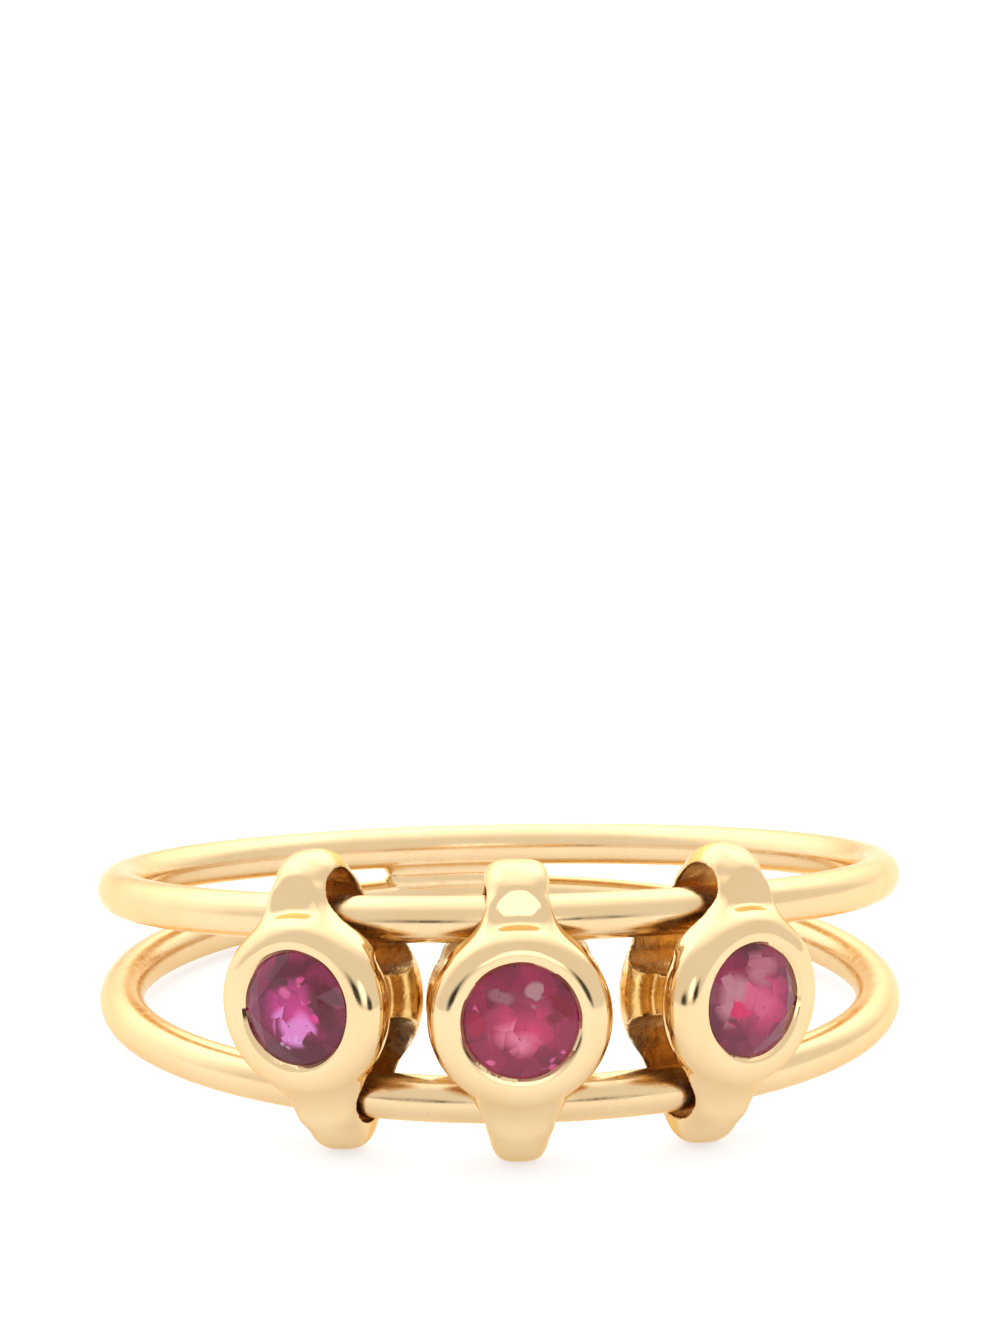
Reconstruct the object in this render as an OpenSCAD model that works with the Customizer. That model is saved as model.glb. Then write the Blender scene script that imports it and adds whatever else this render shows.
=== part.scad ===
// A finger ring of two gold wire hoops that meet at the back and spread at the front,
// with three ruby settings threaded on both wires. It lies on its side, as it rests on a table:
// the finger axis is almost upright, the front is towards -Y and the table is the plane z = 0.
//
// Each setting is drawn in its own frame: X along the wires, -Y away from the finger, Z along
// the finger axis. "Depth" below is a distance from the wires' centre line, away from the finger.

/* [Finger] */
// Inner diameter of the ring, between the wires' inner sides
inner_d = 17.15; // [15.5:0.05:19]

/* [Hoops] */
// Diameter of the gold wire
wire_d = 1.05; // [0.9:0.05:1.1]
// Distance between the two wires' centres at the front
front_spread = 4.1; // [4:0.05:4.2]
// Distance between the two wires' centres at the back
back_spread = 1.33; // [1.15:0.01:1.5]
// Length of the solder joint round the back, in degrees
solder_span = 29; // [12:1:50]
// Radial thickness of the solder between the wires
solder_thickness = 0.78; // [0.4:0.02:0.95]

/* [Rest] */
// How far the finger axis leans back from upright while the ring rests, in degrees
rest_tilt = 7.1; // [6.8:0.05:7.4]

/* [Places of the settings] */
// Angle of the left setting round the ring, from the front
left_angle = -31.2; // [-34:0.1:-30]
// Angle of the middle setting
middle_angle = -3.9; // [-4.5:0.1:-3.3]
// Angle of the right setting
right_angle = 24.9; // [24:0.1:28]
// Sideways lean of the left setting, top outward, in degrees
left_lean = -6; // [-6.4:0.1:0]
// Sideways lean of the right setting, top outward, in degrees
right_lean = 4.8; // [0:0.1:6]
// How far the left setting is turned about its own upright line, in degrees
left_twist = -2.6; // [-4:0.1:0]
// How far the right setting is turned about its own upright line, in degrees
right_twist = 5.4; // [0:0.1:6]

/* [Setting] */
// Distance from the middle of a setting to the tip of its lug
lug_reach = 3.4; // [3.35:0.01:3.45]
// Width of an upper lug
upper_lug_w = 1.44; // [1.36:0.02:1.5]
// Width of a lower lug
lower_lug_w = 1.34; // [1.3:0.02:1.44]
// How far the left setting's upper lug stands to the side of the lower one
left_lug_shift = -0.1; // [-0.15:0.01:0]
// How far the right setting's upper lug stands to the side of the lower one
right_lug_shift = 0.18; // [0:0.01:0.2]
// Radius of the ball that rounds the tip of an upper lug
upper_ball_r = 1.05; // [1:0.01:1.1]
// Radius of the ball that rounds the tip of a lower lug
lower_ball_r = 0.88; // [0.84:0.01:0.97]
// Radius of the arc across the tip of an upper lug, seen from the front
upper_tip_r = 0.85; // [0.75:0.01:1]
// Radius of the arc across the tip of a lower lug, seen from the front
lower_tip_r = 0.74; // [0.72:0.01:1]
// Radius of the hollow between an upper lug and the round rim
upper_fillet_r = 1.7; // [1.3:0.05:1.9]
// Radius of the hollow between a lower lug and the round rim
lower_fillet_r = 3; // [2.5:0.1:3.2]
// Thickness of a lug from its front to its back, where the wire passes
lug_depth = 1.94; // [1.9:0.01:1.98]
// How far the rim sits above the middle of the setting
rim_rise = 0.07; // [0:0.01:0.1]
// Centre radius of the swollen rim round the stone
rim_centre_r = 1.47; // [1.44:0.01:1.5]
// Radius of the rim's own round section
rim_tube_r = 0.58; // [0.55:0.01:0.6]
// Depth of the rim's widest line
rim_depth = 1; // [0.95:0.01:1.05]
// Radius of the round back plate
plate_r = 2.03; // [1.95:0.01:2.04]
// Thickness of the back plate
plate_t = 0.74; // [0.7:0.01:0.78]
// Radius of the neck between the rim and the back plate
neck_r = 1.45; // [1.3:0.01:1.46]

/* [Wire holes] */
// Radius of the round outer end of a hole
hole_end_r = 0.74; // [0.72:0.01:0.75]
// Radius of the narrower inner end
hole_foot_r = 0.65; // [0.63:0.01:0.66]
// Metal above the upper hole, at the tip of the lug
upper_wall = 0.47; // [0.44:0.01:0.5]
// Metal below the lower hole, at the tip of the lug
lower_wall = 0.64; // [0.6:0.01:0.66]
// Half of the height of the solid metal between the two holes
bridge_half = 0.54; // [0.5:0.01:0.6]

/* [Rubies] */
// Diameter of a stone at its girdle
stone_d = 2.8; // [2.7:0.01:2.82]
// Diameter of the opening that the burnished lip leaves
window_d = 2.54; // [2.5:0.01:2.58]
// Width of the table over the diameter of the stone
table_ratio = 0.58; // [0.5:0.01:0.65]
// Height of the crown
crown_h = 0.36; // [0.3:0.01:0.4]
// Height of the pavilion, from the girdle to the point
pavilion_h = 1.12; // [1:0.01:1.15]
// Thickness of the girdle
girdle_t = 0.06; // [0.04:0.01:0.08]
// How far each stone is turned in its setting, in degrees
stone_turn = 22.5; // [0:0.5:45]

/* [Hidden] */
GOLD = "#e3bd7a";
RUBY = "#a8204e";
MAGENTA = "#b02a72";
$fn = 96;

// Hoops: each is a level circle of wire tilted about X, so that the pair meets at the back.
wire_r = wire_d / 2;
hoop_r = (inner_d + wire_d) / 2;
hoop_mid = (front_spread + back_spread) / 4;
hoop_tilt = asin((front_spread - back_spread) / 4 / hoop_r);

// The ring rests on the back of the lower hoop and on the tips of the lower lugs.
lift = wire_r + hoop_mid * cos(rest_tilt) + hoop_r * sin(rest_tilt - hoop_tilt);

// Setting
hole_depth = -0.06;
upper_end_z = lug_reach - upper_wall - hole_end_r;
lower_end_z = lug_reach - lower_wall - hole_end_r;
foot_z = bridge_half + hole_foot_r;
plate_back = -0.98;
waist_r = 1.05;
waist_z = 2.2;
foot_of_lug_r = 1.55;
foot_of_lug_z = 1.4;
fillet_on_r = 1.95;
drill_length = 6;
corner_r = plate_t / 2;

// Stone and its seat
stone_r = stone_d / 2;
window_r = window_d / 2;
girdle_depth = 1.36;
seat_gap = 0.03;
culet_r = 0.03;
clearance_above = 1;
star_height = 0.56;
knee_radius = 0.3;
knee_depth = 0.72;
FACETS = 8;

// Height of a setting's middle in the ring's frame, with the ball of its lower lug on the table
function seat_z(angle, lean) =
    (lug_reach - lower_ball_r) * cos(lean)
    + (lower_ball_r - lift - (hoop_r + hole_depth) * cos(angle) * sin(rest_tilt)) / cos(rest_tilt);

// The ring is centred between the table of the middle stone and the back of the hoops
facing = cos(middle_angle) * cos(rest_tilt);
table_y = (hoop_r + girdle_depth + girdle_t + crown_h) * facing
    - (seat_z(middle_angle, 0) + rim_rise) * sin(rest_tilt);
front_y = table_y + table_ratio * stone_r * sqrt(1 - pow(facing, 2));
back_y = hoop_mid * sin(rest_tilt) + hoop_r * cos(rest_tilt + hoop_tilt) + wire_r;
centre_y = (front_y - back_y) / 2;

// Points of a regular ring of the stone, n of them at radius r and height z, turned by half steps
function ring(n, r, z, half_steps = 0) =
    [for (i = [0 : n - 1]) let (a = (i + half_steps / 2) * 360 / n) [r * cos(a), r * sin(a), z]];

// Puts a child of the ring's own frame in its resting place
module resting()
    translate([0, centre_y, lift]) rotate([-rest_tilt, 0, 0]) children();

// Puts a setting's own frame at its place on the wires
module on_wires(angle, lean, twist)
    resting()
        rotate([0, 0, angle]) translate([0, -hoop_r, seat_z(angle, lean)])
            rotate([0, lean, 0]) rotate([0, 0, twist]) children();

// Extrudes a front outline (X and Z) from one depth to another
module from_front(near, far)
    translate([0, -far, 0]) rotate([90, 0, 0]) linear_extrude(near - far) children();

// Extrudes a side outline (depth and Z) across the whole setting
module from_side(width)
    mirror([0, 1, 0]) rotate([90, 0, 90]) translate([0, 0, -width / 2]) linear_extrude(width) children();

// Turns a section (radius and depth) about the setting's own front-to-back line
module turned()
    rotate([90, 0, 0]) rotate_extrude() children();

module hoop(side)
    translate([0, 0, side * hoop_mid]) rotate([-side * hoop_tilt, 0, 0])
        rotate_extrude() translate([hoop_r, 0]) circle(r = wire_r);

module solder()
    rotate([0, 0, 90 - solder_span / 2]) rotate_extrude(angle = solder_span)
        translate([hoop_r - solder_thickness / 2, -back_spread / 2])
            square([solder_thickness, back_spread]);

module shank() color(GOLD) resting() {
    hoop(1);
    hoop(-1);
    solder();
}

// Front outline of one lug, pointing up, with a hollow on each side where it leaves the round body
module lug_outline(width, tip_r, fillet_r) {
    fillet_x = width / 2 + fillet_r;
    fillet_z = sqrt(pow(fillet_on_r + fillet_r, 2) - pow(fillet_x, 2));
    reach = fillet_on_r / (fillet_on_r + fillet_r);
    intersection() {
        translate([-width / 2, 0]) square([width, lug_reach]);
        translate([0, lug_reach - tip_r]) circle(r = tip_r);
    }
    translate([-width / 2, 0]) square([width, lug_reach - tip_r]);
    difference() {
        polygon([[-fillet_x * reach, fillet_z * reach], [0, 0], [fillet_x * reach, fillet_z * reach],
                 [width / 2, fillet_z], [-width / 2, fillet_z]]);
        for (side = [-1, 1]) translate([side * fillet_x, fillet_z]) circle(r = fillet_r);
    }
}

// Half section of the round form that one lug is cut from, pointing up: a ball, a waist and a foot
module lug_section(ball_r) intersection() {
    square([foot_of_lug_r, lug_reach]);
    union() {
        translate([0, lug_reach - ball_r]) circle(r = ball_r);
        polygon([[0, 0], [foot_of_lug_r, 0], [foot_of_lug_r, foot_of_lug_z], [waist_r, waist_z],
                 [ball_r, lug_reach - ball_r], [0, lug_reach - ball_r]]);
    }
}

// Side outline of one hole, pointing up: wide at the lug, narrower towards the middle
module hole_outline(end_z) translate([hole_depth, 0]) {
    lean = asin((hole_end_r - hole_foot_r) / (end_z - foot_z));
    side = [cos(lean), -sin(lean)];
    translate([0, end_z]) circle(r = hole_end_r);
    translate([0, foot_z]) circle(r = hole_foot_r);
    polygon([[-hole_end_r * side[0], end_z + hole_end_r * side[1]],
             [hole_end_r * side[0], end_z + hole_end_r * side[1]],
             [hole_foot_r * side[0], foot_z + hole_foot_r * side[1]],
             [-hole_foot_r * side[0], foot_z + hole_foot_r * side[1]]]);
}

module lug(width, ball_r, tip_r, fillet_r) intersection() {
    from_front(hole_depth + lug_depth / 2, plate_back) lug_outline(width, tip_r, fillet_r);
    translate([0, -hole_depth, 0]) rotate_extrude() lug_section(ball_r);
}

// The round body: swollen rim, neck and rounded back plate
module round_body() translate([0, 0, rim_rise]) turned() {
    translate([rim_centre_r, rim_depth]) circle(r = rim_tube_r);
    translate([0, plate_back]) square([neck_r, rim_depth - plate_back]);
    translate([0, plate_back]) square([plate_r - corner_r, plate_t]);
    translate([plate_r - corner_r, plate_back + corner_r]) circle(r = corner_r);
}

// The space for the stone: a cone for its point, a groove for its girdle and the lip's window
module seat() translate([0, 0, rim_rise]) turned() {
    wide = stone_r + seat_gap;
    floor_depth = girdle_depth - pavilion_h - 2 * seat_gap;
    top = girdle_depth + girdle_t + seat_gap;
    lip_rise = (wide - window_r) * crown_h / (stone_r * (1 - table_ratio));
    polygon([[0, floor_depth], [culet_r + seat_gap, floor_depth], [wide, girdle_depth - seat_gap],
             [wide, top], [window_r, top + lip_rise], [window_r, top + clearance_above],
             [0, top + clearance_above]]);
}

module setting(upper_shift) color(GOLD) difference() {
    union() {
        round_body();
        translate([upper_shift, 0, 0]) lug(upper_lug_w, upper_ball_r, upper_tip_r, upper_fillet_r);
        mirror([0, 0, 1]) lug(lower_lug_w, lower_ball_r, lower_tip_r, lower_fillet_r);
    }
    from_side(drill_length) hole_outline(upper_end_z);
    mirror([0, 0, 1]) from_side(drill_length) hole_outline(lower_end_z);
    seat();
}

// A round stone: an eight-sided table, stars, kites and girdle facets above, mains and halves below
module ruby(tone) color(tone)
translate([0, -girdle_depth, rim_rise]) rotate([90, 0, 0]) rotate([0, 0, stone_turn]) {
    n = FACETS;
    star_r = (stone_r + table_ratio * stone_r) / 2;
    points = concat(
        ring(n, table_ratio * stone_r, girdle_t + crown_h),
        ring(n, star_r, girdle_t + crown_h * star_height, 1),
        ring(2 * n, stone_r, girdle_t),
        ring(2 * n, stone_r, 0),
        ring(n, stone_r * knee_radius, -pavilion_h * knee_depth, 1),
        [[0, 0, -pavilion_h]]);
    star = n;
    upper = 2 * n;
    lower = 4 * n;
    half = 6 * n;
    point = 7 * n;
    polyhedron(points, concat(
        [[for (i = [n - 1 : -1 : 0]) i]],
        [for (i = [0 : n - 1]) [i, (i + 1) % n, star + i]],
        [for (i = [0 : n - 1]) [i, star + i, upper + 2 * i]],
        [for (i = [0 : n - 1]) [i, upper + 2 * i, star + (i + n - 1) % n]],
        [for (i = [0 : n - 1]) [star + i, upper + 2 * i + 1, upper + 2 * i]],
        [for (i = [0 : n - 1]) [star + i, upper + (2 * i + 2) % (2 * n), upper + 2 * i + 1]],
        [for (i = [0 : 2 * n - 1]) [upper + i, upper + (i + 1) % (2 * n), lower + i]],
        [for (i = [0 : 2 * n - 1]) [upper + (i + 1) % (2 * n), lower + (i + 1) % (2 * n), lower + i]],
        [for (i = [0 : n - 1]) [lower + 2 * i, lower + 2 * i + 1, half + i]],
        [for (i = [0 : n - 1]) [lower + 2 * i + 1, lower + (2 * i + 2) % (2 * n), half + i]],
        [for (i = [0 : n - 1]) [half + i, lower + (2 * i + 2) % (2 * n), half + (i + 1) % n]],
        [for (i = [0 : n - 1]) [half + i, half + (i + 1) % n, point]]));
}

module left_setting() on_wires(left_angle, left_lean, left_twist) setting(left_lug_shift);
module middle_setting() on_wires(middle_angle, 0, 0) setting(0);
module right_setting() on_wires(right_angle, right_lean, right_twist) setting(right_lug_shift);
module left_ruby() on_wires(left_angle, left_lean, left_twist) ruby(MAGENTA);
module middle_ruby() on_wires(middle_angle, 0, 0) ruby(RUBY);
module right_ruby() on_wires(right_angle, right_lean, right_twist) ruby(RUBY);

shank();
left_setting();
middle_setting();
right_setting();
left_ruby();
middle_ruby();
right_ruby();
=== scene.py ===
"""Dresses the ruby ring: two gold hoops, three settings threaded on them and three rubies.

Pieces are modelled in millimetres about their own middle, then put in place in metres.
"""
import math
import bmesh
import bpy
from bpy.props import FloatProperty, FloatVectorProperty, PointerProperty
from mathutils import Matrix, Vector


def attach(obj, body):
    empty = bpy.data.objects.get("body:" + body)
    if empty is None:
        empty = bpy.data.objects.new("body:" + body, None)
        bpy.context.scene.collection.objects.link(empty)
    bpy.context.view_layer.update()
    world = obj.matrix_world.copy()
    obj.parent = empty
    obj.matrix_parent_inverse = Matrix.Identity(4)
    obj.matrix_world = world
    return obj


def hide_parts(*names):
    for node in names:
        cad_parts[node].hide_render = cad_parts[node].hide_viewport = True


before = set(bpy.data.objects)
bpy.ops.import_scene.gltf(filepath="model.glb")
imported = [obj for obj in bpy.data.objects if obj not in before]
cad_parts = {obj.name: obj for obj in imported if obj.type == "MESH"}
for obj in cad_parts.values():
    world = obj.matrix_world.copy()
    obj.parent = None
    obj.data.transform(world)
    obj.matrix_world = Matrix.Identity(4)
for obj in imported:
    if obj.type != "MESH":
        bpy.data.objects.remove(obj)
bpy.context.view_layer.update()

bl_info = {
    "name": "Ruby Ring",
    "version": (1, 0, 0),
    "blender": (4, 5, 0),
    "location": "View3D > Sidebar > Ruby Ring",
    "description": "Models and finishes a gold ring with three sliding ruby settings",
    "category": "Add Mesh",
}

MM = 0.001

# Node, body, stone, angle round the ring, lean and twist in degrees, then the upper lug's sideways
# shift in mm and how round its tip is, from 4, squarish, to 2, round
SETTINGS = (
    ("left_setting", "left_bead", "left_ruby", -31.2, -6.0, -2.6, -0.10, 2.6),
    ("middle_setting", "middle_bead", "middle_ruby", -3.9, 0.0, 0.0, 0.0, 4.0),
    ("right_setting", "right_bead", "right_ruby", 24.9, 4.8, 5.4, 0.18, 2.5),
)

# Stone: its clouded body's colour, then patches of painted light and shade in it: painted glows
# and glints, painted reflections of the lights on the upper facets and painted shade towards the
# edges. For each: place across and up, half width and half height in mm, softness of the edge,
# colour
STONES = {
    "left_ruby": ((0.26, 0.008, 0.065), (
        (0.02, 0.06, 0.60, 0.95, 0.8, (0.82, 0.04, 0.34)),
        (0.12, -0.10, 0.30, 0.36, 0.4, (1.00, 0.16, 0.56)),
        (0.06, -0.30, 0.48, 0.42, 0.3, (1.00, 0.29, 0.78)),
        (-0.30, -0.66, 0.12, 0.07, 0.3, (1.00, 0.66, 0.92)),
        (0.04, -0.50, 0.13, 0.20, 0.5, (1.00, 0.42, 0.90)),
        (0.86, 0.10, 0.50, 0.60, 0.4, (0.14, 0.001, 0.02)),
        (0.10, 1.00, 0.90, 0.42, 0.5, (0.14, 0.004, 0.03)),
        (0.05, -0.96, 0.90, 0.44, 0.4, (0.15, 0.002, 0.03)),
        (0.50, 0.02, 0.20, 0.16, 0.6, (0.95, 0.05, 0.35)),
        (-0.10, 0.62, 0.16, 0.14, 0.5, (0.90, 0.12, 0.40)),
        (0.42, 0.66, 0.14, 0.12, 0.5, (0.90, 0.08, 0.32)))),
    "middle_ruby": ((0.27, 0.010, 0.055), (
        (0.04, -0.04, 0.84, 0.66, 0.9, (0.90, 0.045, 0.18)),
        (-0.14, -0.26, 0.46, 0.34, 0.7, (1.00, 0.24, 0.40)),
        (0.84, 0.30, 0.34, 0.34, 0.4, (0.30, 0.002, 0.03)),
        (-1.05, 0.08, 0.30, 0.40, 0.5, (0.50, 0.002, 0.06)),
        (-0.50, 0.74, 0.36, 0.20, 0.4, (0.40, 0.13, 0.17)),
        (0.36, 0.72, 0.27, 0.22, 0.3, (0.54, 0.27, 0.29)),
        (-0.66, -0.98, 0.13, 0.10, 0.5, (1.00, 0.16, 0.42)),
        (0.66, -0.92, 0.13, 0.10, 0.5, (0.90, 0.12, 0.36)),
        (1.03, -0.52, 0.09, 0.12, 0.5, (0.95, 0.14, 0.40)),
        (-1.02, 0.50, 0.12, 0.12, 0.5, (0.95, 0.12, 0.36)))),
    "right_ruby": ((0.24, 0.012, 0.055), (
        (0.05, 0.08, 0.80, 0.74, 0.7, (0.78, 0.05, 0.20)),
        (-0.14, 0.22, 0.48, 0.46, 0.5, (0.88, 0.11, 0.27)),
        (-0.76, 0.20, 0.48, 0.62, 0.4, (0.66, 0.25, 0.32)),
        (-0.02, 0.86, 0.60, 0.32, 0.5, (0.62, 0.17, 0.24)),
        (-0.56, -0.12, 0.28, 0.22, 0.3, (0.90, 0.004, 0.14)),
        (1.20, 0.10, 0.30, 1.30, 0.3, (0.20, 0.001, 0.02)))),
}
REST_TILT = 7.1  # degrees that the ring leans back as it lies
RING_CENTRE_Y = 0.63554  # mm from the middle of the resting ring's box to the finger axis

# The casting in mm, in its own frame: X across, Y to the back from the wires, Z up the face
RIM_RISE = 0.07  # the round body stands this much above the middle between the lugs' tips
RIM_Y = -1.0
NECK_R, NECK_FRONT, NECK_BACK = 1.45, -1.2, 0.95
PLATE_BACK = 0.98
UPPER_BALL_R, TIP_POWER = 1.05, 4.0  # rounding and squareness of the blank's upper tip
LOWER_BALL_R = 0.88  # rounding of the lower lug's tip where it meets the table
HOLE_DEPTH = -0.06  # from the wires' circle forward to the holes' middle, so a little behind it
UPPER_HOLE, LOWER_HOLE = 2.19, 2.02  # heights of the holes' wide outer ends
HOLE_R = 0.765
INNER_HOLE, INNER_HOLE_R = 1.19, 0.72  # the narrow inner end of both holes
SIDES = 96  # sides of a round form


class HoopSizes(bpy.types.PropertyGroup):
    """Sizes of the two wire hoops and the solder between them"""
    finger_diameter: FloatProperty(
        name="Finger Diameter", description="Inner diameter of the ring",
        default=17.15 * MM, unit="LENGTH", subtype="DISTANCE", precision=5)
    wire_diameter: FloatProperty(
        name="Wire Diameter", description="Thickness of the gold wire",
        default=1.05 * MM, unit="LENGTH", subtype="DISTANCE", precision=5)
    front_spread: FloatProperty(
        name="Front Spread", description="Distance between the wires' centres at the front",
        default=4.1 * MM, unit="LENGTH", subtype="DISTANCE", precision=5)
    back_spread: FloatProperty(
        name="Back Spread", description="Distance between the wires' centres at the back",
        default=1.33 * MM, unit="LENGTH", subtype="DISTANCE", precision=5)
    solder_angle: FloatProperty(
        name="Solder Length", description="Length of the solder joint round the back of the ring",
        default=math.radians(29), unit="ROTATION", subtype="ANGLE")


class SettingSizes(bpy.types.PropertyGroup):
    """Sizes of one setting"""
    reach: FloatProperty(
        name="Lug Reach", description="From the middle of a setting to the tip of its lug",
        default=3.4 * MM, unit="LENGTH", subtype="DISTANCE", precision=5)
    rim_radius: FloatProperty(
        name="Rim Radius", description="Centre radius of the swollen rim",
        default=1.47 * MM, unit="LENGTH", subtype="DISTANCE", precision=5)
    rim_section: FloatProperty(
        name="Rim Section", description="Radius of the rim's own round section",
        default=0.58 * MM, unit="LENGTH", subtype="DISTANCE", precision=5)
    plate_radius: FloatProperty(
        name="Plate Radius", description="Radius of the back plate",
        default=2.03 * MM, unit="LENGTH", subtype="DISTANCE", precision=5)
    plate_thickness: FloatProperty(
        name="Plate Thickness", description="Thickness of the back plate",
        default=0.74 * MM, unit="LENGTH", subtype="DISTANCE", precision=5)
    window_diameter: FloatProperty(
        name="Window Diameter", description="Opening that the burnished lip leaves over the stone",
        default=2.54 * MM, unit="LENGTH", subtype="DISTANCE", precision=5)


class GoldLook(bpy.types.PropertyGroup):
    """Colour and polish of the gold"""
    colour: FloatVectorProperty(
        name="Gold", description="Colour of the polished gold",
        default=(0.82, 0.61, 0.35), size=3, min=0, max=1, subtype="COLOR")
    warm: FloatVectorProperty(
        name="Warm Gold", description="Deeper colour of the gold in faint clouds",
        default=(0.80, 0.575, 0.315), size=3, min=0, max=1, subtype="COLOR")
    polish: FloatProperty(
        name="Roughness", description="Roughness of the polished gold",
        default=0.085, min=0, max=1, subtype="FACTOR")
    drawn: FloatProperty(
        name="Wire Roughness", description="Roughness of the drawn wire",
        default=0.20, min=0, max=1, subtype="FACTOR")


class RubyLook(bpy.types.PropertyGroup):
    """Colours of the stones"""
    crimson: FloatVectorProperty(
        name="Crimson", description="Colour of the middle and the right stone",
        default=(0.93, 0.10, 0.42), size=3, min=0, max=1, subtype="COLOR")
    magenta: FloatVectorProperty(
        name="Magenta", description="Colour of the left stone",
        default=(0.93, 0.16, 0.66), size=3, min=0, max=1, subtype="COLOR")
    depth: FloatProperty(
        name="Depth of Colour", description="How fast the colour deepens with the light's path",
        default=450.0, min=0)
    clarity: FloatProperty(
        name="Clarity", description="How much of the light passes clear through the stone",
        default=0.42, min=0, max=1, subtype="FACTOR")


class StageLook(bpy.types.PropertyGroup):
    """Light, floor and camera"""
    surround: FloatProperty(
        name="Surround", description="Brightness of the white tent", default=0.97, min=0)
    top_light: FloatProperty(
        name="Top Light", description="Extra brightness overhead", default=0.65, min=0)
    front_light: FloatProperty(
        name="Front Light", description="Extra brightness low in front", default=1.0, min=0)
    side_light: FloatProperty(
        name="Side Lights", description="Extra brightness on both sides", default=0.6, min=0)
    gap: FloatProperty(
        name="Gaps", description="What is left of the light in the tent's gaps",
        default=0.05, min=0, max=1, subtype="FACTOR")
    overhead: FloatProperty(
        name="Overhead Light", description="Brightness of the light over the floor",
        default=0.5, min=0)
    floor_glow: FloatProperty(
        name="Floor Glow", description="Brightness of the light table under the ring",
        default=0.56, min=0)
    floor: FloatVectorProperty(
        name="Floor", description="Colour of the floor",
        default=(0.53, 0.51, 0.49), size=3, min=0, max=1, subtype="COLOR")
    azimuth: FloatProperty(
        name="Azimuth", description="Camera's angle round the ring, from its front",
        default=math.radians(-6.577), unit="ROTATION", subtype="ANGLE")
    elevation: FloatProperty(
        name="Elevation", description="Camera's angle above the table",
        default=math.radians(17.673), unit="ROTATION", subtype="ANGLE")
    distance: FloatProperty(
        name="Distance", description="Camera's distance from the ring's middle",
        default=111.82 * MM, unit="LENGTH", subtype="DISTANCE", precision=5)
    lens: FloatProperty(
        name="Lens", description="Focal length in millimetres", default=124.93, min=1)


class RingProperties(bpy.types.PropertyGroup):
    """All that can be set about the ring"""
    hoops: PointerProperty(type=HoopSizes, name="Hoops", description="Sizes of the hoops")
    setting: PointerProperty(type=SettingSizes, name="Setting", description="Sizes of a setting")
    gold: PointerProperty(type=GoldLook, name="Gold", description="Look of the gold")
    ruby: PointerProperty(type=RubyLook, name="Rubies", description="Look of the stones")
    stage: PointerProperty(type=StageLook, name="Stage", description="Light, floor and camera")


# ---------------------------------------------------------------- modelling helpers

def deselect():
    """Goes back to object mode with nothing selected"""
    if bpy.context.mode != "OBJECT":
        bpy.ops.object.mode_set(mode="OBJECT")
    bpy.ops.object.select_all(action="DESELECT")


def only(piece):
    """Makes one object the selected and the active one"""
    deselect()
    piece.select_set(True)
    bpy.context.view_layer.objects.active = piece
    return piece


def named(name):
    """Names the primitive just added"""
    piece = bpy.context.active_object
    piece.name = name
    piece.data.name = name
    return piece


def pick(piece, faces=None, edges=None, verts=None):
    """Goes into edit mode with only the faces, edges or vertices selected that a test accepts"""
    only(piece)
    bpy.ops.object.mode_set(mode="EDIT")
    kind = "FACE" if faces else "EDGE" if edges else "VERT"
    bpy.ops.mesh.select_mode(type=kind)
    bpy.ops.mesh.select_all(action="DESELECT")
    mesh = bmesh.from_edit_mesh(piece.data)
    for face in mesh.faces if faces else ():
        face.select = faces(face)
    for edge in mesh.edges if edges else ():
        edge.select = edges(edge)
    for vert in mesh.verts if verts else ():
        vert.select = verts(vert)
    mesh.select_flush_mode()
    bmesh.update_edit_mesh(piece.data)


def done():
    """Leaves edit mode"""
    bpy.ops.object.mode_set(mode="OBJECT")


def apply_place(piece):
    """Leaves the object at the origin, with its place in its mesh"""
    only(piece)
    bpy.ops.object.transform_apply(location=True, rotation=True, scale=True)
    return piece


def join(first, *others):
    """Joins objects into the first one's mesh"""
    only(first)
    for other in others:
        other.select_set(True)
    bpy.ops.object.join()
    return first


def ramp(value, low, high):
    """0 below low, 1 above high and smooth between"""
    part = min(1.0, max(0.0, (value - low) / (high - low)))
    return part * part * (3 - 2 * part)


def modify(piece, kind, **settings):
    """Adds a modifier and applies it"""
    only(piece)
    modifier = piece.modifiers.new(kind.title(), kind)
    for key, value in settings.items():
        setattr(modifier, key, value)
    bpy.ops.object.modifier_apply(modifier=modifier.name)
    return piece


def recast(piece, voxel, softening):
    """Melts what is joined into one even skin and softens it, as a casting comes out"""
    modify(piece, "REMESH", mode="VOXEL", voxel_size=voxel, adaptivity=0.0)
    modify(piece, "SMOOTH", factor=0.5, iterations=softening)
    return piece


def soften(piece, weight_at, iterations):
    """Smooths a piece by a weight that is worked out from the place"""
    group = piece.vertex_groups.new(name="soft")
    for vert in piece.data.vertices:
        weight = weight_at(*vert.co)
        if weight > 0:
            group.add([vert.index], weight, "REPLACE")
    modify(piece, "SMOOTH", factor=0.5, iterations=iterations, vertex_group="soft")
    piece.vertex_groups.clear()


def cut(piece, *cutters, operation="DIFFERENCE"):
    """Cuts pieces away, or joins them on, and removes them"""
    for cutter in cutters:
        modify(piece, "BOOLEAN", object=cutter, operation=operation, solver="MANIFOLD")
        only(cutter)
        bpy.ops.object.delete()
    return piece


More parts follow.
